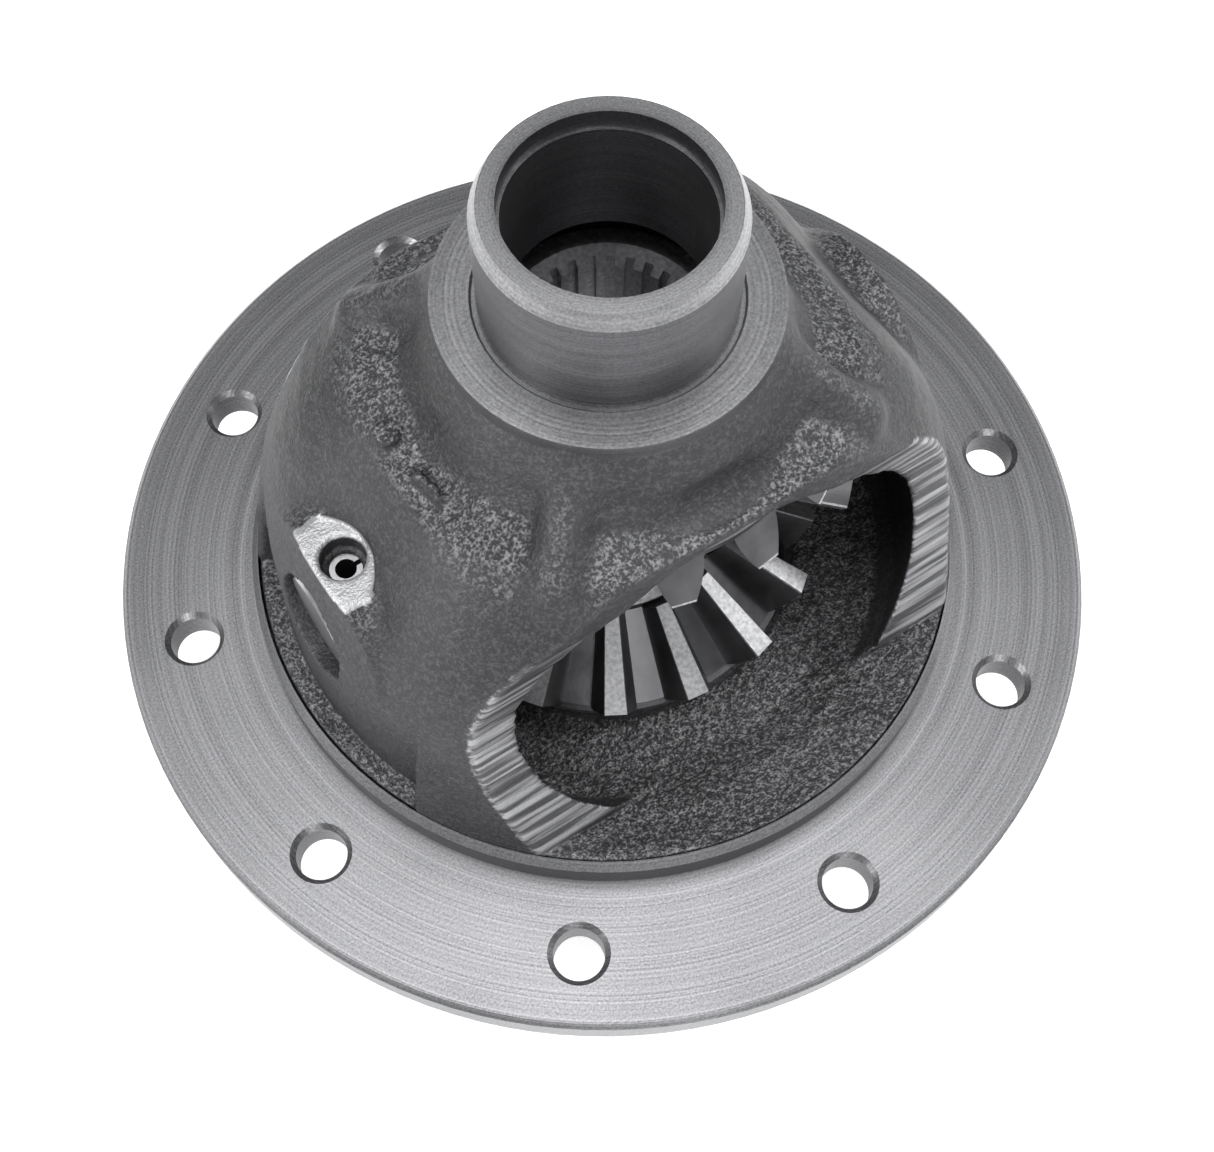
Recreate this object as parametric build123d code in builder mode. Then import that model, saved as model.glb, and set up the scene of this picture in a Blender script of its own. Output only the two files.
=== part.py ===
"""Open bevel-gear differential: one-piece cast case, side gears, pinions, cross pin and lock pin.

Frame, in millimetres: Z is the axle axis, with the long bearing hub pointing up. The origin is the
centre of the flange face that the ring gear seats on. X runs along the cross pin, and the two
windows of the case open toward +Y and -Y.
"""

import os
from math import acos, asin, atan2, cos, hypot, pi, radians, sin, sqrt, tan

from build123d import *

os.makedirs("parts", exist_ok=True)

# ---------------------------------------------------------------- ring gear flange
FLANGE_R = 99.0
FLANGE_T = 8.3
FLANGE_EDGE = 0.9
BOLT_COUNT = 10
BOLT_CIRCLE_R = 85.3
BOLT_HOLE_R = 4.9
BOLT_CHAMFER = 1.05
PILOT_R = 71.5
PILOT_H = 6.0
PILOT_TOP_R, PILOT_TOP_Z = 70.0, 8.0

# ---------------------------------------------------------------- bearing hubs
JOURNAL_R = 21.15
JOURNAL_CHAMFER_R, JOURNAL_CHAMFER_L = 1.25, 2.6
RELIEF_R, RELIEF_W = 20.75, 2.0
RELIEF_FACE_R, RELIEF_DEPTH = 22.3, 0.4
SHOULDER_R = 28.7
SHOULDER_H = 3.3
UPPER_SHOULDER_Z = 89.3
UPPER_END_Z = 112.1
LOWER_SHOULDER_Z = -21.3
LOWER_CONE = [(33.0, -15.0), (58.0, -11.0), (61.0, -FLANGE_T)]
LOWER_END_Z = -44.1
AXLE_BORE_R = 16.5
BORE_MOUTH_R, BORE_MOUTH_L = 17.0, 3.6
HUB_POCKET_S = 52.0

# ---------------------------------------------------------------- differential centre and cavity
CENTRE_Z = 34.0
CAVITY_R = 51.0
CAVITY_HALF_H = 33.5
CORE_PROFILE = [
    (0.0, 1.4),
    (45.5, 1.4),
    (53.0, 4.6),
    (58.6, 12.0),
    (58.2, 24.0),
    (56.0, 34.0),
    (52.6, 43.5),
    (48.6, 52.0),
    (43.4, 59.5),
    (38.4, 66.5),
    (0.0, 66.5),
]
PINION_PAD_R = 21.5
RECESS_HALF_ANGLE = 26.0
RECESS_WALL = [(65.5, PILOT_TOP_Z), (64.2, 36.0), (59.5, 42.0), (54.2, 50.0)]
SADDLE_HALF_ANGLE = 20.0
SADDLE_WALL = [(54.2, 50.0), (47.8, 60.0), (42.4, 68.5), (39.5, 72.0), (39.5, 76.0)]
BOSS_R = 21.0
BOSS_FACE = [(65.2, PILOT_TOP_Z), (64.0, CENTRE_Z), (60.4, 52.5), (58.5, 58.0)]

# ---------------------------------------------------------------- windows
WINDOW_SILL = [(0.0, 0.6), (50.0, 0.6), (56.0, 3.0), (PILOT_TOP_R, PILOT_TOP_Z), (92.0, 15.0)]
WINDOW_ARCH = [(51.4, 26.0), (51.2, 40.0), (48.4, 50.5), (43.0, 60.0), (30.0, 72.0), (0.0, 80.0)]
WINDOW_FOOT = [(47.0, 9.0), (46.5, -1.0)]
WINDOW_INNER_Y = 26.0
WINDOW_TOP_Y, WINDOW_TOP_Z = 38.2, 60.0

# ---------------------------------------------------------------- bevel gears
MODULE = 5.1
SIDE_TEETH = 16
PINION_TEETH = 10
PRESSURE_ANGLE = radians(22.5)
SIDE_ADDENDUM = 0.50 * MODULE
PINION_ADDENDUM = 1.20 * MODULE
TIP_CLEARANCE = 0.15 * MODULE
BACKLASH = 0.40
TOOTH_SHIFT = 1.4
ROOT_OVERLAP = 1.2
FLANK_POINTS = 7
FACE_RATIO = 0.395
SIDE_R = MODULE * SIDE_TEETH / 2
PINION_R = MODULE * PINION_TEETH / 2
SIDE_CONE = atan2(SIDE_R, PINION_R)
PINION_CONE = atan2(PINION_R, SIDE_R)
MESH_PHASE = -7.5

SIDE_BACK_S = 32.4
SIDE_RIM_R = 38.2
SIDE_HUB_R = 22.0
SIDE_HUB_END_S = 44.0
SIDE_FRONT_S = 17.6
SPLINE_COUNT = 30
SPLINE_GROOVE_W = 1.6
SPLINE_MINOR_R = 15.2
SPLINE_MAJOR_R = 16.5
SPLINE_RELIEF_R = 16.9
SPLINE_CHAMFER_R = 18.0

WASHER_T = 1.0
THRUST_GAP = 0.05
SIDE_WASHER_R = 38.0
PINION_BACK_R = 49.9
PINION_WASHER_R = 18.0
PIN_R = 10.25
PIN_HALF_L = 61.5
RUNNING_FIT = 0.05

# ---------------------------------------------------------------- lock pin
LOCK_X = -53.8
LOCK_R = 2.9
LOCK_BORE_R = 1.9
LOCK_TOP_Z = 48.0
LOCK_BOTTOM_Z = 18.0
LOCK_MOUTH_R, LOCK_MOUTH_Z = 4.05, 49.0
SPOT_FACE_X = -60.0
SPOT_FACE_R = 11.1
SPOT_FACE_Z = 52.5


def involute(angle):
    """Involute function of a pressure angle."""
    return tan(angle) - angle


def tooth_outline(pitch_r, cone, addendum, dedendum, shift, scale):
    """Points of one tooth in the plane across the pitch cone, from one root to the other."""
    virtual_r = pitch_r / cos(cone)
    base_r = virtual_r * cos(PRESSURE_ANGLE)
    half_angle = (pi * MODULE / 2 - BACKLASH / 2 + shift) / (2 * virtual_r)
    root_r, tip_r = virtual_r - dedendum - ROOT_OVERLAP, virtual_r + addendum
    flank = []
    start_r = max(base_r, root_r)
    for i in range(FLANK_POINTS):
        rho = start_r + (tip_r - start_r) * i / (FLANK_POINTS - 1)
        turn = half_angle + involute(PRESSURE_ANGLE) - involute(acos(min(1.0, base_r / rho)))
        flank.append((rho * sin(turn) * scale, (rho * cos(turn) - virtual_r) * scale))
    return flank, (root_r - virtual_r) * scale


def bevel_tooth(pitch_r, apex_s, cone, addendum, dedendum, shift):
    """One tooth, lofted from its large end toward the apex at the origin; the gear's axis is +Z."""
    sections = []
    for scale in (1.0, 1.0 - FACE_RATIO):
        flank, root_y = tooth_outline(pitch_r, cone, addendum, dedendum, shift, scale)
        plane = Plane(
            origin=(pitch_r * scale, 0, apex_s * scale),
            x_dir=(0, 1, 0),
            z_dir=(-sin(cone), 0, -cos(cone)),
        )
        with BuildSketch(plane) as section:
            with BuildLine():
                right = Spline(*flank)
                left = Spline(*[(-x, y) for x, y in flank])
                Line(right @ 1, left @ 1)
                Polyline(
                    right @ 0,
                    ((right @ 0).X, root_y, 0),
                    ((left @ 0).X, root_y, 0),
                    left @ 0,
                )
            make_face()
        sections.append(section.sketch.faces()[0])
    return loft(sections, ruled=True)


def cone_point(pitch_r, apex_s, cone, height, along=0.0):
    """(radius, axial) of a point at a height over the pitch cone's large end."""
    return (
        pitch_r + height * cos(cone) + along * sin(cone),
        apex_s - height * sin(cone) + along * cos(cone),
    )


# ================================================================ differential case
# the dome and neck of the casting, as (radius, height) from the pilot up to the bearing shoulder
dome = [
    (PILOT_TOP_R, PILOT_TOP_Z),
    (67.6, 20.0),
    (65.4, 32.0),
    (62.0, 44.0),
    (57.0, 55.0),
    (50.4, 64.2),
    (43.0, 70.8),
    (38.6, 72.2),
    (35.0, 73.4),
    (32.2, 77.0),
    (30.0, 83.0),
    (SHOULDER_R, UPPER_SHOULDER_Z - SHOULDER_H),
]

with BuildPart() as differential_case:
    with BuildSketch(Plane.XZ) as outer_profile:
        with BuildLine():
            Spline(*dome[2:-1])
            Polyline(
                (0, LOWER_END_Z),
                (JOURNAL_R - JOURNAL_CHAMFER_R, LOWER_END_Z),
                (JOURNAL_R, LOWER_END_Z + JOURNAL_CHAMFER_L),
                (JOURNAL_R, LOWER_SHOULDER_Z - RELIEF_W),
                (RELIEF_R, LOWER_SHOULDER_Z - RELIEF_W + RELIEF_DEPTH),
                (RELIEF_R, LOWER_SHOULDER_Z + RELIEF_DEPTH),
                (RELIEF_FACE_R - RELIEF_DEPTH, LOWER_SHOULDER_Z + RELIEF_DEPTH),
                (RELIEF_FACE_R, LOWER_SHOULDER_Z),
                (SHOULDER_R, LOWER_SHOULDER_Z),
                (SHOULDER_R, LOWER_SHOULDER_Z + SHOULDER_H),
                *LOWER_CONE,
                (FLANGE_R - FLANGE_EDGE, -FLANGE_T),
                (FLANGE_R, -FLANGE_T + FLANGE_EDGE),
                (FLANGE_R, -FLANGE_EDGE),
                (FLANGE_R - FLANGE_EDGE, 0),
                (PILOT_R, 0),
                (PILOT_R, PILOT_H),
                dome[0],
                dome[1],
                dome[2],
            )
            Polyline(
                dome[-2],
                dome[-1],
                (SHOULDER_R, UPPER_SHOULDER_Z),
                (RELIEF_FACE_R, UPPER_SHOULDER_Z),
                (RELIEF_FACE_R - RELIEF_DEPTH, UPPER_SHOULDER_Z - RELIEF_DEPTH),
                (RELIEF_R, UPPER_SHOULDER_Z - RELIEF_DEPTH),
                (RELIEF_R, UPPER_SHOULDER_Z + RELIEF_W - RELIEF_DEPTH),
                (JOURNAL_R, UPPER_SHOULDER_Z + RELIEF_W),
                (JOURNAL_R, UPPER_END_Z - JOURNAL_CHAMFER_L),
                (JOURNAL_R - JOURNAL_CHAMFER_R, UPPER_END_Z),
                (0, UPPER_END_Z),
                (0, LOWER_END_Z),
            )
        make_face()
    revolve(axis=Axis.Z)

    # the wall steps in over each end of the cross pin, low down as a recess and above as a saddle
    for wall, half_angle in ((RECESS_WALL, RECESS_HALF_ANGLE), (SADDLE_WALL, SADDLE_HALF_ANGLE)):
        outside = [(PILOT_R + 3, wall[-1][1]), (PILOT_R + 3, wall[0][1])]
        for start in (-half_angle, 180 - half_angle):
            with BuildPart(mode=Mode.PRIVATE) as step:
                with BuildSketch(Plane.XZ.rotated((0, 0, start))):
                    with BuildLine():
                        Polyline(*wall, *outside, close=True)
                    make_face()
                revolve(axis=Axis.Z, revolution_arc=2 * half_angle)
            add(step.part, mode=Mode.SUBTRACT)

    # cross-pin bosses, which taper a little toward the top
    with BuildPart(mode=Mode.PRIVATE) as bosses:
        with BuildSketch(Plane.YZ):
            with Locations((0, CENTRE_Z)):
                Circle(BOSS_R)
        extrude(amount=80, both=True)
        with BuildSketch(Plane.XZ):
            with BuildLine():
                Polyline((0, BOSS_FACE[0][1]), *BOSS_FACE, (0, BOSS_FACE[-1][1]), close=True)
            make_face()
        revolve(axis=Axis.Z, mode=Mode.INTERSECT)
    add(bosses.part)

    # spherical gear cavity with flat thrust faces, hub pockets and the axle bore
    cavity_r_flat = sqrt(CAVITY_R**2 - CAVITY_HALF_H**2)
    with BuildSketch(Plane.XZ) as cavity_profile:
        with BuildLine():
            ThreePointArc(
                (cavity_r_flat, CENTRE_Z - CAVITY_HALF_H),
                (CAVITY_R, CENTRE_Z),
                (cavity_r_flat, CENTRE_Z + CAVITY_HALF_H),
            )
            hub_bore_r = SIDE_HUB_R + RUNNING_FIT
            Polyline(
                (cavity_r_flat, CENTRE_Z + CAVITY_HALF_H),
                (hub_bore_r, CENTRE_Z + CAVITY_HALF_H),
                (hub_bore_r, CENTRE_Z + HUB_POCKET_S),
                (AXLE_BORE_R, CENTRE_Z + HUB_POCKET_S),
                (AXLE_BORE_R, UPPER_END_Z - BORE_MOUTH_L),
                (BORE_MOUTH_R, UPPER_END_Z - BORE_MOUTH_L),
                (BORE_MOUTH_R, UPPER_END_Z + 1),
                (0, UPPER_END_Z + 1),
                (0, LOWER_END_Z - 1),
                (BORE_MOUTH_R, LOWER_END_Z - 1),
                (BORE_MOUTH_R, LOWER_END_Z + BORE_MOUTH_L),
                (AXLE_BORE_R, LOWER_END_Z + BORE_MOUTH_L),
                (AXLE_BORE_R, CENTRE_Z - HUB_POCKET_S),
                (hub_bore_r, CENTRE_Z - HUB_POCKET_S),
                (hub_bore_r, CENTRE_Z - CAVITY_HALF_H),
                (cavity_r_flat, CENTRE_Z - CAVITY_HALF_H),
            )
        make_face()
    revolve(axis=Axis.Z, mode=Mode.SUBTRACT)

    # cored space that follows the wall, interrupted by the two pads that the pinions bear on
    with BuildPart(mode=Mode.PRIVATE) as core:
        with BuildSketch(Plane.XZ):
            with BuildLine():
                Polyline(*CORE_PROFILE, close=True)
            make_face()
        revolve(axis=Axis.Z)
        for pad_side in (-1, 1):
            with Locations(Location((pad_side * CAVITY_R, 0, CENTRE_Z), (0, 90, 0))):
                Cylinder(PINION_PAD_R, 40, mode=Mode.SUBTRACT)
    add(core.part, mode=Mode.SUBTRACT)

    # windows: an arched opening in each side, over a sill that falls toward the lower side gear
    with BuildPart(mode=Mode.PRIVATE) as windows:
        with BuildSketch(Plane.XZ):
            with BuildLine():
                arch = Spline(
                    *WINDOW_ARCH,
                    *[(-x, z) for x, z in reversed(WINDOW_ARCH[:-1])],
                )
                Polyline(arch @ 1, *[(-x, z) for x, z in WINDOW_FOOT], *reversed(WINDOW_FOOT), arch @ 0)
            make_face()
        extrude(amount=FLANGE_R, both=True)
        with Locations((0, 0, CENTRE_Z)):
            Box(2 * FLANGE_R, 2 * WINDOW_INNER_Y, 4 * CENTRE_Z, mode=Mode.SUBTRACT)
        with Locations((0, 0, WINDOW_TOP_Z + CENTRE_Z)):
            Box(2 * FLANGE_R, 2 * WINDOW_TOP_Y, 2 * CENTRE_Z, mode=Mode.SUBTRACT)
    with BuildPart(mode=Mode.PRIVATE) as above_sill:
        with BuildSketch(Plane.XZ):
            with BuildLine():
                Polyline(*WINDOW_SILL, (92.0, 110.0), (0, 110.0), close=True)
            make_face()
        revolve(axis=Axis.Z)
    add(windows.part & above_sill.part, mode=Mode.SUBTRACT)

    # cross-pin bore, lock-pin hole with its mouth and spot face
    with Locations(Location((0, 0, CENTRE_Z), (0, 90, 0))):
        Cylinder(PIN_R, 4 * PIN_HALF_L, mode=Mode.SUBTRACT)
    for x, radius, bottom in (
        (LOCK_X, LOCK_R, LOCK_BOTTOM_Z),
        (LOCK_X, LOCK_MOUTH_R, LOCK_MOUTH_Z),
        (SPOT_FACE_X, SPOT_FACE_R, SPOT_FACE_Z),
    ):
        with Locations((x, 0, bottom)):
            Cylinder(radius, 60, align=(Align.CENTER, Align.CENTER, Align.MIN), mode=Mode.SUBTRACT)

    # ring gear bolt holes, chamfered on both faces
    with BuildPart(mode=Mode.PRIVATE) as bolt_hole:
        with BuildSketch(Plane.XZ):
            with BuildLine():
                Polyline(
                    (0, 0.5),
                    (BOLT_HOLE_R + BOLT_CHAMFER + 0.5, 0.5),
                    (BOLT_HOLE_R, -BOLT_CHAMFER),
                    (BOLT_HOLE_R, -FLANGE_T + BOLT_CHAMFER),
                    (BOLT_HOLE_R + BOLT_CHAMFER + 0.5, -FLANGE_T - 0.5),
                    (0, -FLANGE_T - 0.5),
                    close=True,
                )
            make_face()
        revolve(axis=Axis.Z)
    with PolarLocations(BOLT_CIRCLE_R, BOLT_COUNT, start_angle=-90):
        add(bolt_hole.part, mode=Mode.SUBTRACT)
differential_case.part.label = "differential_case"
export_step(differential_case.part, "parts/differential_case.step")

# ================================================================ side gears
side_dedendum = PINION_ADDENDUM + TIP_CLEARANCE
side_root = cone_point(SIDE_R, PINION_R, SIDE_CONE, -side_dedendum)
small = 1.0 - FACE_RATIO
side_tooth = bevel_tooth(SIDE_R, PINION_R, SIDE_CONE, SIDE_ADDENDUM, side_dedendum, -TOOTH_SHIFT)

with BuildPart() as side_gear:
    with BuildSketch(Plane.XZ):
        with BuildLine():
            Polyline(
                (SPLINE_RELIEF_R, SIDE_FRONT_S),
                (side_root[0] * small, SIDE_FRONT_S),
                (side_root[0] * small, side_root[1] * small),
                side_root,
                (SIDE_RIM_R, side_root[1] + 0.3),
                (SIDE_RIM_R, SIDE_BACK_S - 0.6),
                (SIDE_RIM_R - 0.6, SIDE_BACK_S),
                (SIDE_HUB_R, SIDE_BACK_S),
                (SIDE_HUB_R, SIDE_HUB_END_S - 1),
                (SIDE_HUB_R - 1, SIDE_HUB_END_S),
                (SPLINE_RELIEF_R, SIDE_HUB_END_S),
                close=True,
            )
        make_face()
    revolve(axis=Axis.Z)
    with PolarLocations(0, SIDE_TEETH):
        add(side_tooth)
    # splined sleeve inside the relief bore, chamfered at the hub's end
    with BuildSketch(Plane.XY.offset(SIDE_FRONT_S + 1.5)):
        Circle(SPLINE_RELIEF_R + 0.5)
        Circle(SPLINE_MINOR_R, mode=Mode.SUBTRACT)
        groove_depth = SPLINE_MAJOR_R - SPLINE_MINOR_R + 1
        with PolarLocations(SPLINE_MAJOR_R - groove_depth / 2, SPLINE_COUNT):
            Rectangle(groove_depth, SPLINE_GROOVE_W, mode=Mode.SUBTRACT)
    extrude(amount=SIDE_HUB_END_S - SIDE_FRONT_S - 1.5)
    chamfer_foot_s = SIDE_HUB_END_S - (SPLINE_CHAMFER_R - SPLINE_MINOR_R) - 1
    with BuildSketch(Plane.XZ):
        with BuildLine():
            Polyline(
                (0, SIDE_HUB_END_S + 1),
                (SPLINE_CHAMFER_R + 1, SIDE_HUB_END_S + 1),
                (SPLINE_MINOR_R - 1, chamfer_foot_s),
                (0, chamfer_foot_s),
                close=True,
            )
        make_face()
    revolve(axis=Axis.Z, mode=Mode.SUBTRACT)

upper_seat = Location((0, 0, CENTRE_Z), (0, 0, -MESH_PHASE))
lower_seat = Location((0, 0, CENTRE_Z), (0, 0, MESH_PHASE)) * Location((0, 0, 0), (180, 0, 0))
side_gears = {"side_gear_upper": upper_seat, "side_gear_lower": lower_seat}
for label, seat in side_gears.items():
    gear = side_gear.part.moved(seat)
    gear.label = label
    export_step(gear, f"parts/{label}.step")

with BuildPart() as side_gear_washer:
    with BuildSketch(Plane.XY.offset(SIDE_BACK_S + THRUST_GAP)):
        Circle(SIDE_WASHER_R)
        Circle(SIDE_HUB_R + 0.3, mode=Mode.SUBTRACT)
    extrude(amount=WASHER_T)
for label, turn in (("side_gear_washer_upper", 0), ("side_gear_washer_lower", 180)):
    washer = side_gear_washer.part.moved(Location((0, 0, CENTRE_Z), (turn, 0, 0)))
    washer.label = label
    export_step(washer, f"parts/{label}.step")

# ================================================================ pinions
pinion_dedendum = SIDE_ADDENDUM + TIP_CLEARANCE
pinion_root = cone_point(PINION_R, SIDE_R, PINION_CONE, -pinion_dedendum)
pinion_rim = cone_point(PINION_R, SIDE_R, PINION_CONE, -pinion_dedendum, 1.2)
pinion_tooth = bevel_tooth(
    PINION_R, SIDE_R, PINION_CONE, PINION_ADDENDUM, pinion_dedendum, TOOTH_SHIFT
)
pin_bore_r = PIN_R + RUNNING_FIT

with BuildPart() as pinion_gear:
    back_s = sqrt(PINION_BACK_R**2 - pinion_rim[0] ** 2)
    bore_s = sqrt(PINION_BACK_R**2 - (pin_bore_r + 1) ** 2)
    middle = asin(((pin_bore_r + 1) + pinion_rim[0]) / 2 / PINION_BACK_R)
    with BuildSketch(Plane.XZ):
        with BuildLine():
            Polyline(
                (pinion_rim[0], back_s),
                pinion_rim,
                pinion_root,
                (pinion_root[0] * small, pinion_root[1] * small),
                (pin_bore_r + 1, pinion_root[1] * small),
                (pin_bore_r, pinion_root[1] * small + 1),
                (pin_bore_r, bore_s - 1),
                (pin_bore_r + 1, bore_s),
            )
            ThreePointArc(
                (pin_bore_r + 1, bore_s),
                (PINION_BACK_R * sin(middle), PINION_BACK_R * cos(middle)),
                (pinion_rim[0], back_s),
            )
        make_face()
    revolve(axis=Axis.Z)
    with PolarLocations(0, PINION_TEETH):
        add(pinion_tooth)

# turned into place: a tooth space faces the lower side gear's tooth, plus the rest phase
pinion_turn = MESH_PHASE * SIDE_TEETH / PINION_TEETH
half_pitch = 180 / PINION_TEETH
for label, side in (("pinion_gear_right", 1), ("pinion_gear_left", -1)):
    facing = Location((0, 0, CENTRE_Z), (0, 0, 0 if side > 0 else 180))
    seat = facing * Location((0, 0, 0), (0, 90, 0))
    spin = Location((0, 0, 0), (0, 0, pinion_turn + half_pitch))
    pinion = pinion_gear.part.moved(seat * spin)
    pinion.label = label
    export_step(pinion, f"parts/{label}.step")

with BuildPart() as pinion_washer:
    inner_r = PINION_BACK_R + THRUST_GAP
    outer_r = inner_r + WASHER_T - 2 * THRUST_GAP
    hole_r = PIN_R + 0.3
    with BuildSketch(Plane.XZ):
        with BuildLine():
            edge = [
                (hole_r, sqrt(inner_r**2 - hole_r**2)),
                (PINION_WASHER_R, sqrt(inner_r**2 - PINION_WASHER_R**2)),
                (PINION_WASHER_R, sqrt(outer_r**2 - PINION_WASHER_R**2)),
                (hole_r, sqrt(outer_r**2 - hole_r**2)),
            ]
            middle = asin((hole_r + PINION_WASHER_R) / 2 / inner_r)
            ThreePointArc(edge[0], (inner_r * sin(middle), inner_r * cos(middle)), edge[1])
            Line(edge[1], edge[2])
            ThreePointArc(edge[2], (outer_r * sin(middle), outer_r * cos(middle)), edge[3])
            Line(edge[3], edge[0])
        make_face()
    revolve(axis=Axis.Z)
for label, side in (("pinion_washer_right", 1), ("pinion_washer_left", -1)):
    cup = pinion_washer.part.moved(Location((0, 0, CENTRE_Z), (0, 90 * side, 0)))
    cup.label = label
    export_step(cup, f"parts/{label}.step")

# ================================================================ cross pin and lock pin
with BuildPart() as cross_pin:
    with Locations(Location((0, 0, CENTRE_Z), (0, 90, 0))):
        Cylinder(PIN_R, 2 * PIN_HALF_L)
    chamfer(cross_pin.edges().filter_by(GeomType.CIRCLE), length=1.0)
    with Locations((LOCK_X, 0, CENTRE_Z)):
        Cylinder(LOCK_R, 4 * PIN_R, mode=Mode.SUBTRACT)
cross_pin.part.label = "cross_pin"
export_step(cross_pin.part, "parts/cross_pin.step")

with BuildPart() as lock_pin:
    with BuildSketch(Plane.XY.offset(LOCK_BOTTOM_Z)):
        with Locations((LOCK_X, 0)):
            Circle(LOCK_R)
            Circle(LOCK_BORE_R, mode=Mode.SUBTRACT)
            with Locations((LOCK_R, 0)):
                Rectangle(2 * (LOCK_R - LOCK_BORE_R) + 0.8, 0.9, mode=Mode.SUBTRACT)
    extrude(amount=LOCK_TOP_Z - LOCK_BOTTOM_Z)
lock_pin.part.label = "lock_pin"
export_step(lock_pin.part, "parts/lock_pin.step")
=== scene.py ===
import math

import bmesh
import bpy
import numpy as np
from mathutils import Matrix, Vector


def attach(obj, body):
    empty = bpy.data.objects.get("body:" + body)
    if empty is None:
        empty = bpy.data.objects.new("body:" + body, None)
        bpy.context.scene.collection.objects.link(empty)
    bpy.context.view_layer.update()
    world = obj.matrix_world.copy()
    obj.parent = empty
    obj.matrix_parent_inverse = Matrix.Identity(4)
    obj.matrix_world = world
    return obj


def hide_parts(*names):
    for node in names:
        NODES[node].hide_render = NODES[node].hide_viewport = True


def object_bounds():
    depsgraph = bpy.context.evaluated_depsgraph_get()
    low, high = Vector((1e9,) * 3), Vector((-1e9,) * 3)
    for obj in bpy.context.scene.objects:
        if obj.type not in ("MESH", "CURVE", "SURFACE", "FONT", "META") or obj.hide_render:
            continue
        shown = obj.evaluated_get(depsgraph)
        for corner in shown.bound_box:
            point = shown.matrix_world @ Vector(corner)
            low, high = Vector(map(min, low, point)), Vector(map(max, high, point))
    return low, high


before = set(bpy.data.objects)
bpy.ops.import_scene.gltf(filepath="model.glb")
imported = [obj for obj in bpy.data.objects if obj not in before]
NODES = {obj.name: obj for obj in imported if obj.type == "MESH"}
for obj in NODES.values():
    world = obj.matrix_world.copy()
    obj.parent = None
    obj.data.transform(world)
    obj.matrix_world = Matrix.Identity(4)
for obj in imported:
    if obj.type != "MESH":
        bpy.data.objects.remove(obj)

import openvdb
from mathutils import Matrix, Vector

CAD_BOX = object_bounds()
MM = 0.001

# ---------------------------------------------------------------- sizes of the casting, in mm
VOXEL = 0.6
CENTRE_Z = 34.0  # the gears' common apex, and the axis of the cross pin
LEDGE_Z = 8.0  # top of the pilot, where the dome starts

# Profiles of (radius, height). The saddle is the one in line with the cross pin.
NECK = [(35.0, 73.4), (32.2, 77.0), (30.0, 83.0), (28.8, 86.0)]
DOME = [
    (70.0, 8.0), (67.6, 20.0), (65.4, 32.0), (63.9, 38.0), (62.0, 44.0), (59.7, 50.0), (57.0, 55.0),
    (53.9, 60.0), (50.4, 64.2), (47.0, 67.8), (43.0, 70.8), (38.6, 72.2), *NECK,
]
SADDLE = [
    (70.0, 8.0), (67.6, 20.0), (64.6, 32.0), (59.5, 42.0), (54.2, 50.0), (47.8, 60.0), (43.4, 67.2),
    (41.0, 70.6), (38.2, 72.4), *NECK,
]
UNDERSIDE = [(28.6, -18.2), (33.0, -15.0), (58.0, -11.0), (61.0, -8.6), (66.0, -6.0), (69.8, -3.0)]
FOOT = [(0.0, -20.4), (28.5, -20.4), *UNDERSIDE, (69.8, 7.8)]
TOP = [(28.5, 86.3), (28.5, 88.4), (0.0, 88.4)]
CORE = [
    (0.0, 0.6), (50.0, 0.6), (56.0, 3.0), (59.2, 6.4), (60.2, 14.0), (60.2, 22.0), (58.6, 32.0),
    (55.8, 41.0), (52.2, 49.0), (46.4, 57.5), (38.4, 66.5), (0.0, 66.5),
]
SILL = [
    (0.0, 0.6), (50.0, 0.6), (56.0, 3.0), (63.0, 5.3), (70.0, 8.0), (92.0, 15.0), (92.0, 120.0),
    (0.0, 120.0),
]
SADDLE_DEG = (3.0, 31.0)  # the saddle turns into the dome between these angles from the pin

RIB_AZIMUTHS = (-134, -46, 46, 134)
RIB_START_R, RIB_START_Z = 27.0, 80.5
RIB_RUN, RIB_DROP = 17.0, 11.5
RIB_R, RIB_TAPER = 4.6, 1.2
# shallow pockets, as (azimuth, radius, half width)
POCKETS = ((180, 41.0, 19.0), (0, 41.0, 19.0), (-90, 38.5, 20.0), (90, 38.5, 20.0))
POCKET_Z, POCKET_DEPTH, POCKET_HALF_H = 74.5, 7.5, 4.6
DISC_AT, DISC_R, DISC_Z = (170, 39.6), 2.4, 70.0
BAR_AT, BAR_HALF_W, BAR_HALF_L, BAR_Z = (-172, 38.6), 0.9, 3.4, 70.2
MARK_HALF_H = 1.6

LOCK_X, LOCK_R, LOCK_END_Z = -53.8, 2.95, 17.5
MOUTH_R, MOUTH_Z = 4.05, 49.0
SPOT_X, SPOT_R, SPOT_Z = -60.0, 11.1, 52.5
BOSS_R, BOSS_FROM_X = 20.3, 36.0
BOSS_FACE = [(65.2, LEDGE_Z), (64.0, CENTRE_Z), (59.2, SPOT_Z), (57.5, 58.0)]  # (radius, height)
RECESS_R, RECESS_DRAFT, RECESS_DEG = 65.5, 0.046, 26.0

CAVITY_R, CAVITY_HALF_H = 51.0, 33.5
PAD_R, PAD_FROM_X = 23.0, 31.0  # iron left round the cross pin in the cored space
HUB_POCKET_R, HUB_POCKET_HALF_H = 22.05, 52.0
AXLE_BORE_R = 16.8
PIN_BORE_R = 10.3
# the face milled off each side, as (distance from the XZ plane, height)
MILLED = [
    (50.0, -2.0), (51.5, 8.7), (47.8, 14.6), (42.0, 26.6), (38.2, 36.0), (36.6, 43.0), (36.5, 51.0),
    (37.2, 58.0), (38.2, 62.0), (38.4, 90.0),
]
MILLED_SLOPE = 0.93  # distance to the leaning milled face, over the distance along Y

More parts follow.
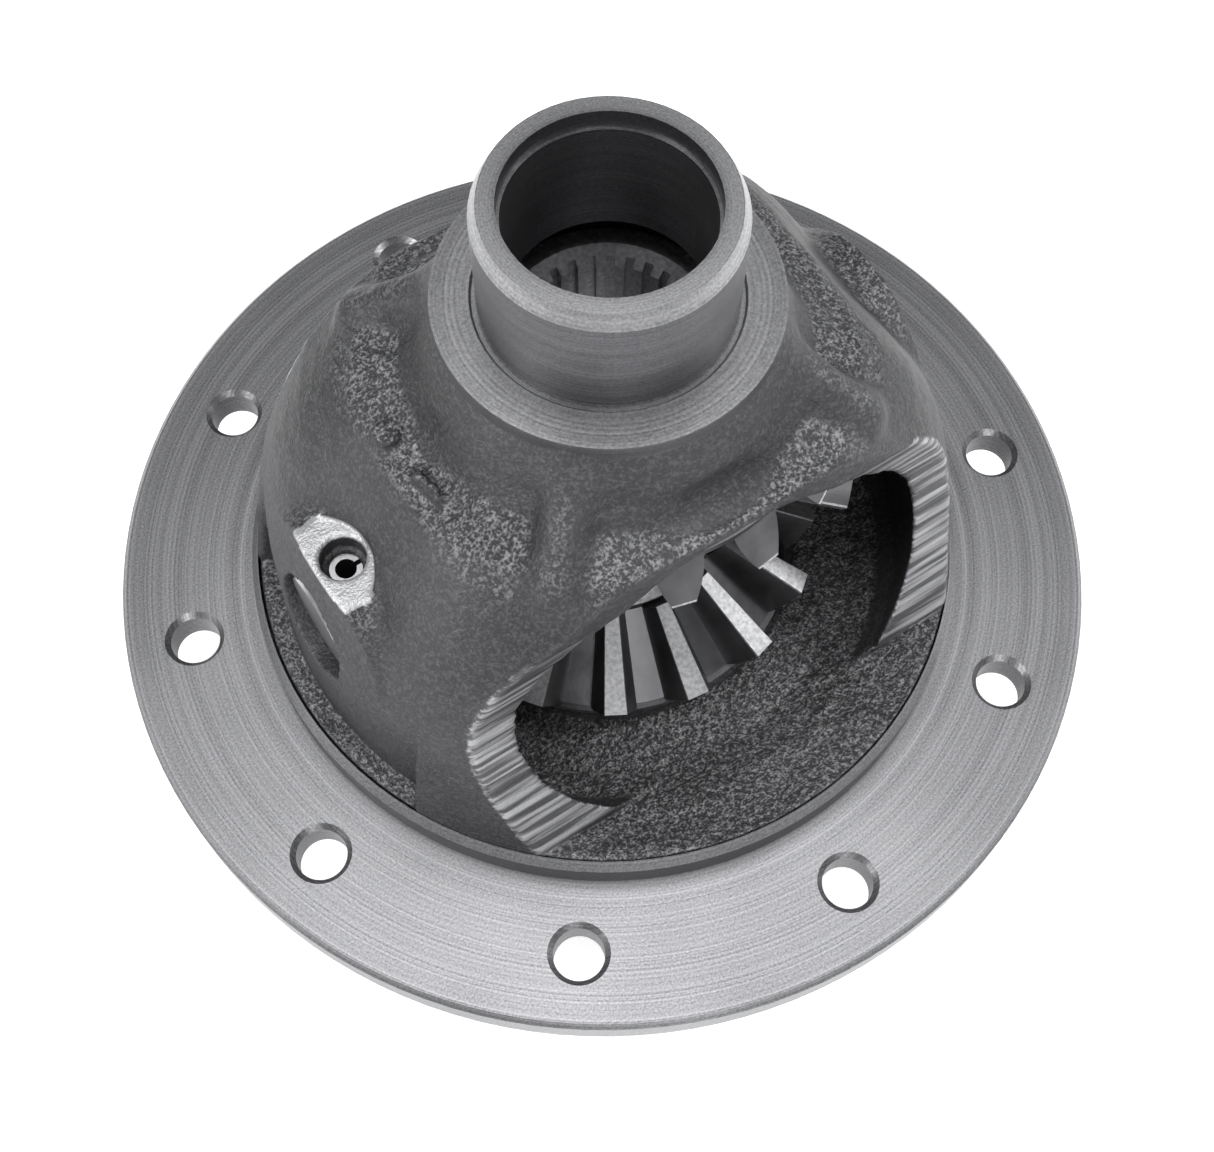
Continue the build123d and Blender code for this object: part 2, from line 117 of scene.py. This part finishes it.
# how near to a cutter's face a point counts as machined, and where else the skin stays smooth
JAMB_REACH, JAMB_FACING, JAMB_FROM_Z, JAMB_TO_Z = 0.8, 0.45, 6.0, 60
SPOT_REACH, SPOT_EDGE_R = 0.5, 11.4
LOCK_EDGE_R, LOCK_FROM_Z = 4.6, 40
CAVITY_EDGE_R, CAVITY_WITHIN_R = 51.6, 50
PIN_BORE_EDGE_R = 10.8
SMOOTH_PILOT_R, SMOOTH_PILOT_Z = 69.0, 8.4
SKIN_FROM_Z, SKIN_TO_Z = -16.5, 84.5  # beyond these it meets the turned hubs
# lumps of the skin, and of the milled face, as (height, size)
LUMPS = ((0.22, 9.0), (0.16, 2.9), (0.10, 1.35))
CHATTER = ((0.15, 1.6), (0.08, 0.8))
CHATTER_STRETCH = 0.07
ROUGH_AND_GLINT_FACING = (0.66, 0.96)  # how much a face must look up to be rough and to get painted glints
EVEN_LUMPS, ROUGH_LUMPS = 0.60, 0.80

# which of the CAD case's faces are shown as they are
FLANGE_BACK_FROM_Z, FLANGE_BACK_TO_Z, FLANGE_BACK_R = -8.4, -8.2, 60
FLANGE_R, FLANGE_TOP_Z = 69.9, 8.05
UPPER_HUB_Z, LOWER_HUB_Z = 86.01, -18.01
FLANGE_RIM_R = 95
UPRIGHT = 0.3  # a face whose normal has less Z than this is a wall
GEAR_HUB_R = 22.3
SIDE_TIP_DEG, PINION_TIP_DEG, TIP_MARGIN_DEG = 61.03, 39.25, 0.45

# ---------------------------------------------------------------- colours, dark and pale
SKIN = ((0.036, 0.036, 0.038), (0.054, 0.054, 0.057))
# painted glint: the pale speckle colour painted into the skin where it looks up
GLINT = (0.27, 0.27, 0.275)
CUT_FACE = ((0.075, 0.075, 0.08), (0.36, 0.36, 0.37))
SPOT_FACE = (0.46, 0.46, 0.47)
FLANGE = ((0.10, 0.10, 0.105), (0.34, 0.34, 0.35))
# painted shade: a darker copy of the flange's colours, for its upright faces and the pilot wall
PILOT_WALL_SHADE = ((0.07, 0.07, 0.075), (0.20, 0.20, 0.21))
HUB_FACE = ((0.16, 0.16, 0.165), (0.44, 0.44, 0.45))
# painted shade: a darker copy of the hub faces' colours, for the journals' upright faces
JOURNAL_SHADE = ((0.09, 0.09, 0.095), (0.20, 0.20, 0.21))
TOOTH = ((0.070, 0.070, 0.074), (0.135, 0.135, 0.14))
TOP_LAND = ((0.32, 0.32, 0.33), (0.50, 0.50, 0.51))
GROUND_PIN = (0.42, 0.42, 0.43)
WASHER = (0.34, 0.34, 0.35)
GROUND_SHADE = 0.8
FLOOR = (0.90, 0.90, 0.90, 1.0)
FLOOR_GLOW = 0.45
SKY, SKY_STRENGTH = (0.95, 0.97, 1.0, 1), 0.26

# ---------------------------------------------------------------- camera
CAMERA_PLACE = (-0.0854, -0.12838, 0.30903)
CAMERA_BACK = (-0.2460, -0.3513, 0.9034)
CAMERA_RIGHT = (0.8192, -0.5736, 0.0)
CAMERA_ROLL_DEG = 2.142
CAMERA_LENS, CAMERA_SHIFT = 49.33, (-0.0116, -0.0002)


# ================================================================ camera
def make_camera():
    """Long-lens view from the lock-pin side, looking steeply down on the window."""
    back = Vector(CAMERA_BACK).normalized()
    right = Vector(CAMERA_RIGHT).normalized()
    up = back.cross(right)
    roll = math.radians(CAMERA_ROLL_DEG)
    x_axis = right * math.cos(roll) + up * math.sin(roll)
    y_axis = back.cross(x_axis)
    data = bpy.data.cameras.new("camera")
    data.sensor_width = 36.0
    data.lens = CAMERA_LENS
    data.shift_x, data.shift_y = CAMERA_SHIFT
    data.clip_start, data.clip_end = 0.01, 20.0
    cam = bpy.data.objects.new("camera", data)
    bpy.context.scene.collection.objects.link(cam)
    m = Matrix((x_axis, y_axis, back)).transposed().to_4x4()
    m.translation = CAMERA_PLACE
    cam.matrix_world = m
    bpy.context.scene.camera = cam


# ================================================================ signed distances on a grid
def polygon_distance(px, py, poly):
    """Signed distance to a closed polygon, negative inside."""
    best = np.full(px.shape, 1e9)
    inside = np.zeros(px.shape, bool)
    for (ax, ay), (bx, by) in zip(poly, poly[1:] + poly[:1]):
        ex, ey = bx - ax, by - ay
        t = np.clip(((px - ax) * ex + (py - ay) * ey) / (ex * ex + ey * ey), 0, 1)
        best = np.minimum(best, np.hypot(px - ax - t * ex, py - ay - t * ey))
        if ay != by:
            inside ^= ((ay > py) != (by > py)) & (px < ex * (py - ay) / ey + ax)
    return np.where(inside, -best, best).astype(np.float32)


def join(a, b, blend):
    """Union of two distances, with a fillet of about the blend's size."""
    h = np.clip(0.5 + 0.5 * (b - a) / blend, 0, 1)
    return b + (a - b) * h - blend * h * (1 - h)


def cut(a, b, blend):
    """a with b taken away, with a rounded edge."""
    return -join(-a, b, blend)


def at_height(z, profile):
    """The first number of a profile of (distance, height), read at heights z."""
    return np.interp(z, [height for _, height in profile], [distance for distance, _ in profile])


class Grid:
    """Sample points of the casting's box, in mm."""

    def __init__(self, step):
        self.step = step
        self.x = np.arange(-74.0, 74.01, step, np.float32)
        self.z = np.arange(-23.0, 91.0, step, np.float32)
        self.X = self.x[:, None, None]
        self.Y = self.x[None, :, None]
        self.Z = self.z[None, None, :]
        self.R = np.hypot(self.X, self.Y)
        self.A = np.degrees(np.arctan2(self.Y, self.X))

    def revolved(self, poly):
        """Distance to a profile of (radius, height) turned about Z."""
        dr = 0.25
        radii = np.arange(0, 110, dr)
        table = polygon_distance(*np.meshgrid(radii, self.z, indexing="ij"), poly)
        pos = self.R[:, :, 0] / dr
        i = pos.astype(int)
        f = (pos - i)[:, :, None].astype(np.float32)
        return table[i] * (1 - f) + table[i + 1] * f


# ================================================================ value noise on points
class Noise:
    def __init__(self, seed):
        self.t = np.random.RandomState(seed).rand(32, 32, 32).astype(np.float32) * 2 - 1

    def __call__(self, p, size):
        q = p / size
        i = np.floor(q).astype(int)
        f = q - i
        f = f * f * (3 - 2 * f)
        out = np.zeros(len(p), np.float32)
        for dx in (0, 1):
            for dy in (0, 1):
                for dz in (0, 1):
                    w = (
                        (f[:, 0] if dx else 1 - f[:, 0])
                        * (f[:, 1] if dy else 1 - f[:, 1])
                        * (f[:, 2] if dz else 1 - f[:, 2])
                    )
                    out += w * self.t[(i[:, 0] + dx) % 32, (i[:, 1] + dy) % 32, (i[:, 2] + dz) % 32]
        return out


def step01(v, a, b):
    """Smooth step from 0 at a to 1 at b."""
    t = np.clip((v - a) / (b - a), 0, 1)
    return t * t * (3 - 2 * t)


# ================================================================ the casting
def turned_to(g, azimuth, radius):
    """Coordinates along and across a direction from the axle axis, from a point at a radius."""
    a = math.radians(azimuth)
    along = g.X * math.cos(a) + g.Y * math.sin(a) - radius
    return along, -g.X * math.sin(a) + g.Y * math.cos(a)


def outside_of_casting(g):
    """Dome, neck, ribs, bosses and recesses, before anything is hollowed out."""
    off_pin = np.minimum(np.abs(g.A), 180 - np.abs(g.A))
    bulge = step01(off_pin, *SADDLE_DEG)
    saddle, dome = g.revolved([*FOOT, *SADDLE, *TOP]), g.revolved([*FOOT, *DOME, *TOP])
    d = saddle * (1 - bulge) + dome * bulge

    # ribs that run down from the bearing shoulder on to the pillars
    for azimuth in RIB_AZIMUTHS:
        u, v = turned_to(g, azimuth, RIB_START_R)
        w = g.Z - RIB_START_Z
        t = np.clip((u * RIB_RUN - w * RIB_DROP) / (RIB_RUN**2 + RIB_DROP**2), 0, 1)
        off_line = np.sqrt((u - RIB_RUN * t) ** 2 + v**2 + (w + RIB_DROP * t) ** 2)
        d = join(d, off_line - (RIB_R - RIB_TAPER * t), blend=4.0)

    # shallow pockets in the band between the ribs, with a plain disc and a bar standing in one
    for azimuth, radius, half in POCKETS:
        u, v = turned_to(g, azimuth, radius)
        w = g.Z - POCKET_Z
        off_centre = np.sqrt((u / POCKET_DEPTH) ** 2 + (v / half) ** 2 + (w / POCKET_HALF_H) ** 2)
        d = cut(d, (off_centre - 1) * POCKET_HALF_H, blend=3.0)
    u, v = turned_to(g, *DISC_AT)
    disc = np.maximum(np.hypot(u, v) - DISC_R, np.abs(g.Z - DISC_Z) - MARK_HALF_H)
    d = join(d, disc, blend=0.7)
    u, v = turned_to(g, *BAR_AT)
    bar = np.maximum(np.abs(u) - BAR_HALF_W, np.abs(v) - BAR_HALF_L)
    d = join(d, np.maximum(bar, np.abs(g.Z - BAR_Z) - MARK_HALF_H), blend=0.7)

    # cross-pin bosses, tapering toward the top
    boss = np.hypot(g.Y, g.Z - CENTRE_Z) - BOSS_R
    face = at_height(g.Z, BOSS_FACE).astype(np.float32)
    boss = np.maximum(np.maximum(boss, g.R - face), BOSS_FROM_X - np.abs(g.X))
    d = join(d, boss, blend=3.0)

    # the wall steps in over the pilot at each end of the cross pin
    wall = RECESS_R - (g.Z - LEDGE_Z) * RECESS_DRAFT
    sector = (off_pin - RECESS_DEG) * (math.pi / 180) * g.R
    return cut(d, np.maximum(np.maximum(wall - g.R, sector), LEDGE_Z - g.Z), blend=1.6)


def hollow_out(g, d):
    """Gear cavity, cored space, hub pockets, axle bore, windows and the holes for the pins."""
    lift = g.Z - CENTRE_Z
    cavity = np.maximum(np.sqrt(g.R**2 + lift**2) - CAVITY_R, np.abs(lift) - CAVITY_HALF_H)
    d = cut(d, cavity, blend=0.6)
    pad = np.maximum(np.hypot(g.Y, lift) - PAD_R, PAD_FROM_X - np.abs(g.X))
    d = cut(d, np.maximum(g.revolved(CORE), -pad), blend=1.5)
    d = np.maximum(d, -np.maximum(g.R - HUB_POCKET_R, np.abs(lift) - HUB_POCKET_HALF_H))
    d = np.maximum(d, AXLE_BORE_R - g.R)

    # windows: each side milled off parallel to X, over a dished sill
    face_y = at_height(g.Z, MILLED).astype(np.float32)
    beyond_face = (face_y - np.abs(g.Y)) * MILLED_SLOPE
    d = cut(d, np.maximum(beyond_face, g.revolved(SILL)), blend=0.7)

    # cross-pin bore, spot face, and the lock-pin hole with its mouth
    d = np.maximum(d, PIN_BORE_R - np.hypot(g.Y, lift))
    lock = np.hypot(g.X - LOCK_X, g.Y)
    spot = np.hypot(g.X - SPOT_X, g.Y)
    d = np.maximum(d, -np.maximum(spot - SPOT_R, SPOT_Z - g.Z))
    d = np.maximum(d, -np.maximum(lock - MOUTH_R, MOUTH_Z - g.Z))
    return np.maximum(d, -np.maximum(lock - LOCK_R, LOCK_END_Z - g.Z))


def casting():
    """The whole casting as one mesh, with its skin's lumps and three masks for the material."""
    g = Grid(VOXEL)
    d = hollow_out(g, outside_of_casting(g))

    band = 3 * VOXEL
    vdb = openvdb.FloatGrid(band)
    vdb.copyFromArray(np.ascontiguousarray(np.clip(d, -band, band), np.float32))
    vdb.transform = openvdb.createLinearTransform(VOXEL)
    points, _, quads = vdb.convertToPolygons(isovalue=0.0, adaptivity=0.0)
    points = points + np.array([g.x[0], g.x[0], g.z[0]], np.float32)

    mesh = bpy.data.meshes.new("case_casting")
    mesh.from_pydata(points.tolist(), [], quads.tolist())
    mesh.update()
    normals = np.zeros(len(points) * 3, np.float32)
    mesh.vertex_normals.foreach_get("vector", normals)
    normals = normals.reshape(-1, 3)

    # points on faces that a cutter has touched
    x, y, z = points.T
    r = np.hypot(x, y)
    jamb = np.abs(np.abs(y) - at_height(z, MILLED)) < JAMB_REACH
    jamb &= (normals[:, 1] * np.sign(y) > JAMB_FACING) & (z > JAMB_FROM_Z) & (z < JAMB_TO_Z)
    spot = (np.abs(z - SPOT_Z) < SPOT_REACH) & (np.hypot(x - SPOT_X, y) < SPOT_EDGE_R)
    holes = (np.hypot(x - LOCK_X, y) < LOCK_EDGE_R) & (z > LOCK_FROM_Z)
    inner = (np.sqrt(r**2 + (z - CENTRE_Z) ** 2) < CAVITY_EDGE_R) & (r < CAVITY_WITHIN_R)
    inner |= np.hypot(y, z - CENTRE_Z) < PIN_BORE_EDGE_R
    machined = spot | holes | inner

    # lumps, deeper on the faces that look up: the sill, the pockets, the ledge over the pilot; the
    # same up-facing mask later sets where glints are painted into the skin's colour
    rough_and_glint = step01(normals[:, 2], *ROUGH_AND_GLINT_FACING) * ~machined * ~jamb
    noises = Noise(3), Noise(7), Noise(11)
    shift = sum(height * noise(points, size) for noise, (height, size) in zip(noises, LUMPS))
    shift = shift * (EVEN_LUMPS + ROUGH_LUMPS * rough_and_glint)
    shift[machined] = 0
    # the milled faces have streaks along X instead
    streaks = np.stack([x * CHATTER_STRETCH, y, z], 1)
    chatter = sum(height * noise(streaks, size) for noise, (height, size) in zip(noises[1:], CHATTER))
    shift = np.where(jamb, chatter, shift)
    on_pilot = (r > SMOOTH_PILOT_R) & (z < SMOOTH_PILOT_Z)
    shift *= ~on_pilot & (z < SKIN_TO_Z) & (z > SKIN_FROM_Z)
    points = points + normals * shift[:, None]

    mesh.vertices.foreach_set("co", (points * MM).astype(np.float32).ravel())
    for name, values in (("rough_and_glint", rough_and_glint), ("mill", jamb * 1.0), ("spot", spot * 1.0)):
        attribute = mesh.attributes.new(name, "FLOAT", "POINT")
        attribute.data.foreach_set("value", values.astype(np.float32))
    mesh.polygons.foreach_set("use_smooth", np.ones(len(mesh.polygons), bool))
    mesh.update()
    return add_piece("case_casting", mesh)


def add_piece(name, mesh):
    obj = bpy.data.objects.new(name, mesh)
    bpy.context.scene.collection.objects.link(obj)
    return obj


def machined_faces(name, keep):
    """The part of the case's own faces that keep(radius, z) picks, with radius and z in mm."""
    bm = bmesh.new()
    bm.from_mesh(NODES["differential_case"].data)
    drop = []
    for f in bm.faces:
        c = f.calc_center_median() / MM
        if not keep(math.hypot(c.x, c.y), c.z):
            drop.append(f)
    bmesh.ops.delete(bm, geom=drop, context="FACES")
    mesh = bpy.data.meshes.new(name)
    bm.to_mesh(mesh)
    bm.free()
    mesh.shade_smooth()
    mesh.set_sharp_from_angle(angle=math.radians(28))
    return add_piece(name, mesh)


# ================================================================ materials
class Tree:
    """Small helper for building a material's nodes."""

    def __init__(self, name):
        self.mat = bpy.data.materials.new(name)
        self.mat.use_nodes = True
        self.t = self.mat.node_tree
        self.shader = self.t.nodes["Principled BSDF"]
        self.coord = self.node("ShaderNodeTexCoord").outputs["Object"]
        parts = self.node("ShaderNodeSeparateXYZ")
        self.link(self.coord, parts.inputs[0])
        self.x, self.y, self.z = parts.outputs

    def node(self, kind, **settings):
        n = self.t.nodes.new(kind)
        for key, value in settings.items():
            setattr(n, key, value)
        return n

    def link(self, a, b):
        self.t.links.new(a, b)

    def put(self, socket, value):
        """Link an output to a socket, or set the socket to a plain value."""
        if hasattr(value, "links"):
            self.link(value, socket)
        else:
            socket.default_value = value

    def math(self, op, a, b=0.0):
        n = self.node("ShaderNodeMath", operation=op)
        self.put(n.inputs[0], a)
        self.put(n.inputs[1], b)
        return n.outputs[0]

    def weighted(self, *terms):
        """Sum of (value, weight) pairs."""
        products = [self.math("MULTIPLY", value, weight) for value, weight in terms]
        total = products[0]
        for product in products[1:]:
            total = self.math("ADD", total, product)
        return total

    def scaled(self, value, factor, offset):
        return self.math("ADD", self.math("MULTIPLY", value, factor), offset)

    def hypot(self, a, b):
        return self.math("SQRT", self.weighted((a, a), (b, b)))

    def vector(self, x, y, z):
        n = self.node("ShaderNodeCombineXYZ")
        for socket, value in zip(n.inputs, (x, y, z)):
            self.put(socket, value)
        return n.outputs[0]

    def noise(self, size_mm, detail, vector=None):
        n = self.node("ShaderNodeTexNoise")
        self.put(n.inputs["Vector"], vector if vector is not None else self.coord)
        n.inputs["Scale"].default_value = 1 / MM / size_mm
        n.inputs["Detail"].default_value = detail
        n.inputs["Roughness"].default_value = 0.55
        return n.outputs["Fac"]

    def ramp(self, fac, low, high):
        """From 0 where fac is low to 1 where it is high."""
        n = self.node("ShaderNodeValToRGB")
        self.link(fac, n.inputs[0])
        for element, place, value in zip(n.color_ramp.elements, (low, high), (0.0, 1.0)):
            element.position = place
            element.color = (value, value, value, 1)
        return n.outputs[0]

    def mix(self, fac, a, b):
        """Blend two colours; sockets 6, 7 and 2 are the Mix node's colour ones."""
        n = self.node("ShaderNodeMix", data_type="RGBA")
        self.put(n.inputs[0], fac)
        for socket, value in ((n.inputs[6], a), (n.inputs[7], b)):
            self.put(socket, value if hasattr(value, "links") else (*value, 1))
        return n.outputs[2]

    def attribute(self, name):
        return self.node("ShaderNodeAttribute", attribute_name=name).outputs["Fac"]

    def bump(self, height, distance_mm, strength, normal=None):
        n = self.node("ShaderNodeBump")
        n.inputs["Distance"].default_value = distance_mm * MM
        self.put(n.inputs["Strength"], strength)
        self.link(height, n.inputs["Height"])
        if normal is not None:
            self.link(normal, n.inputs["Normal"])
        return n.outputs[0]

    def finish(self, color, roughness, normal, metallic):
        s = self.shader.inputs
        self.put(s["Base Color"], color)
        self.put(s["Roughness"], roughness)
        s["Metallic"].default_value = metallic
        if normal is not None:
            self.link(normal, s["Normal"])
        return self.mat


def cast_iron():
    """Dark sand-cast skin: fine grain with painted glints where it lies flat, and the cutter's
    streaks.
    """
    t = Tree("cast_iron_skin")
    rough_and_glint, mill, spot = t.attribute("rough_and_glint"), t.attribute("mill"), t.attribute("spot")
    grain = t.noise(1.0, 4.0)
    fine = t.noise(0.5, 2.0)
    patch = t.noise(30.0, 2.0)
    skin = t.mix(t.ramp(patch, 0.38, 0.62), *SKIN)
    # painted glint: pale speckles painted into the base colour, strongest on faces that look up
    glint = t.ramp(t.weighted((grain, 0.6), (fine, 0.4)), 0.46, 0.66)
    skin = t.mix(t.math("MULTIPLY", glint, t.scaled(rough_and_glint, 0.80, 0.20)), skin, GLINT)
    stripe = t.noise(1.3, 2.0, t.vector(t.math("MULTIPLY", t.x, 0.05), t.y, t.z))
    cut_face = t.mix(t.ramp(stripe, 0.42, 0.64), *CUT_FACE)
    color = t.mix(spot, t.mix(mill, skin, cut_face), SPOT_FACE)
    polish = t.math("MULTIPLY", t.math("MAXIMUM", mill, spot), 0.12)
    skin_bump = t.math("MULTIPLY", t.scaled(rough_and_glint, 0.60, 0.40), t.math("SUBTRACT", 1.0, mill))
    normal = t.bump(fine, 0.16, 0.75, t.bump(grain, 0.55, skin_bump))
    return t.finish(color, t.math("SUBTRACT", 0.50, polish), normal, 0.6)


def turned_iron(name, colors, along_z, roughness):
    """A lathe-cut face: rings about Z on flat faces, bands along Z on round ones."""
    t = Tree(name)
    lead = t.vector(t.z if along_z else t.hypot(t.x, t.y), 0.0, 0.0)
    rings = t.noise(0.45, 2.0, lead)
    wide = t.noise(2.6, 1.0, lead)
    speck = t.noise(0.42, 3.0)
    patch = t.noise(45.0, 2.0)
    tone = t.weighted((rings, 0.36), (speck, 0.34), (wide, 0.18), (patch, 0.12))
    color = t.mix(t.ramp(tone, 0.38, 0.62), *colors)
    normal = t.bump(t.math("ADD", rings, t.math("MULTIPLY", speck, 0.7)), 0.035, 0.6)
    return t.finish(color, t.scaled(wide, 0.2, roughness - 0.10), normal, 0.9)


def gear_steel(name, axis, tip_angle):
    """Dark forged teeth with bright top lands, found by their angle at the gears' common apex."""
    t = Tree(name)
    lift = t.math("SUBTRACT", t.z, CENTRE_Z * MM)
    along, other = (t.x, lift) if axis == "X" else (lift, t.x)
    angle = t.math("ARCTAN2", t.hypot(t.y, other), t.math("ABSOLUTE", along))
    bright = t.math("GREATER_THAN", angle, math.radians(tip_angle - TIP_MARGIN_DEG))
    if axis == "Z":
        in_bore = t.math("LESS_THAN", t.hypot(t.x, t.y), GEAR_HUB_R * MM)
        bright = t.math("MAXIMUM", bright, in_bore)
    patch = t.noise(9.0, 3.0)
    dark = t.mix(t.ramp(patch, 0.3, 0.7), *TOOTH)
    machined = t.mix(t.ramp(t.noise(0.8, 3.0), 0.35, 0.65), *TOP_LAND)
    normal = t.bump(t.noise(0.7, 3.0), 0.04, 0.6)
    return t.finish(t.mix(bright, dark, machined), t.scaled(patch, 0.2, 0.30), normal, 0.85)


def ground_steel(name, color, roughness):
    """Ground face with fine lines along Y."""
    t = Tree(name)
    lines = t.noise(0.4, 2.0, t.vector(t.x, t.math("MULTIPLY", t.y, 0.1), t.z))
    shade = t.mix(t.ramp(lines, 0.3, 0.7), tuple(c * GROUND_SHADE for c in color), color)
    return t.finish(shade, roughness, t.bump(lines, 0.01, 0.4), 0.95)


def paint(obj, material):
    obj.data.materials.clear()
    obj.data.materials.append(material)


def paint_walls_shaded(obj, material, within=math.inf):
    """Give the upright faces within a radius, in mm, a second material: a darker copy that paints
    shade on the walls.
    """
    obj.data.materials.append(material)
    for face in obj.data.polygons:
        if abs(face.normal.z) < UPRIGHT and face.center.xy.length < within * MM:
            face.material_index = 1


def of_flange(r, z):
    """The flange's underside, rim, holes and top, and the pilot."""
    underside = FLANGE_BACK_FROM_Z < z < FLANGE_BACK_TO_Z and r > FLANGE_BACK_R
    return underside or (r > FLANGE_R and FLANGE_BACK_FROM_Z < z < FLANGE_TOP_Z)


# ================================================================ making
make_camera()

body = casting()
flange = machined_faces("case_flange", of_flange)
upper = machined_faces("case_upper_hub", lambda r, z: z > UPPER_HUB_Z)
lower = machined_faces("case_lower_hub", lambda r, z: z < LOWER_HUB_Z)
paint(body, cast_iron())
paint(flange, turned_iron("flange_machined", FLANGE, along_z=False, roughness=0.40))
# the flange's upright faces get a darker copy of the same turned iron: painted shade
pilot_wall_shade = turned_iron("pilot_machined_painted_shade", PILOT_WALL_SHADE, along_z=True, roughness=0.40)
paint_walls_shaded(flange, pilot_wall_shade, FLANGE_RIM_R)
hub_face = turned_iron("hub_machined", HUB_FACE, along_z=False, roughness=0.34)
# the hubs' upright faces get a darker copy of the same turned iron: painted shade
hub_round_shade = turned_iron("journal_machined_painted_shade", JOURNAL_SHADE, along_z=True, roughness=0.34)
for hub in (upper, lower):
    paint(hub, hub_face)
    paint_walls_shaded(hub, hub_round_shade)
for piece in (body, flange, upper, lower):
    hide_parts("differential_case")
    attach(piece, "case")

side_steel = gear_steel("side_gear_steel", "Z", SIDE_TIP_DEG)
pinion_steel = gear_steel("pinion_steel", "X", PINION_TIP_DEG)
pin = ground_steel("pin_ground", GROUND_PIN, 0.28)
shim = ground_steel("washer_steel_face", WASHER, 0.4)
for name, node in NODES.items():
    if name == "differential_case":
        continue
    if name.startswith("pinion_gear"):
        material = pinion_steel
    elif name in ("side_gear_upper", "side_gear_lower"):
        material = side_steel
    else:
        material = pin if name.endswith("_pin") else shim
    for i in range(len(node.data.materials)):
        node.data.materials[i] = material

# ================================================================ floor and light
floor_z = CAD_BOX[0].z
corners = [(-6, -6, floor_z), (6, -6, floor_z), (6, 6, floor_z), (-6, 6, floor_z)]
floor_mesh = bpy.data.meshes.new("floor")
floor_mesh.from_pydata(corners, [], [(0, 1, 2, 3)])
floor = add_piece("floor", floor_mesh)
pale = Tree("floor_pale")
pale.shader.inputs["Emission Color"].default_value = (1.0, 1.0, 1.0, 1.0)
pale.shader.inputs["Emission Strength"].default_value = FLOOR_GLOW
paint(floor, pale.finish(FLOOR, 0.9, None, 0.0))


def area_light(name, place, aim, size, power):
    data = bpy.data.lights.new(name, "AREA")
    data.shape, data.size, data.energy = "DISK", size, power
    obj = bpy.data.objects.new(name, data)
    bpy.context.scene.collection.objects.link(obj)
    obj.location = place
    obj.rotation_mode = "QUATERNION"
    obj.rotation_quaternion = (Vector(aim) - Vector(place)).to_track_quat("-Z", "Y")


area_light("overhead", (0.03, 0.06, 1.0), aim=(0, 0, 0), size=0.70, power=5.6)
area_light("left", (-1.0, 0.15, 0.75), aim=(0, 0, 0.03), size=0.6, power=10.0)
area_light("right", (0.95, -0.45, 0.70), aim=(0, 0, 0.03), size=0.6, power=9.0)
area_light("front", (-0.35, -1.1, 0.70), aim=(0, 0, 0.03), size=0.6, power=6.0)

world = bpy.data.worlds.new("studio")
bpy.context.scene.world = world
world.use_nodes = True
background = world.node_tree.nodes["Background"]
background.inputs["Color"].default_value = SKY
background.inputs["Strength"].default_value = SKY_STRENGTH
bpy.context.scene.view_settings.view_transform = "Standard"
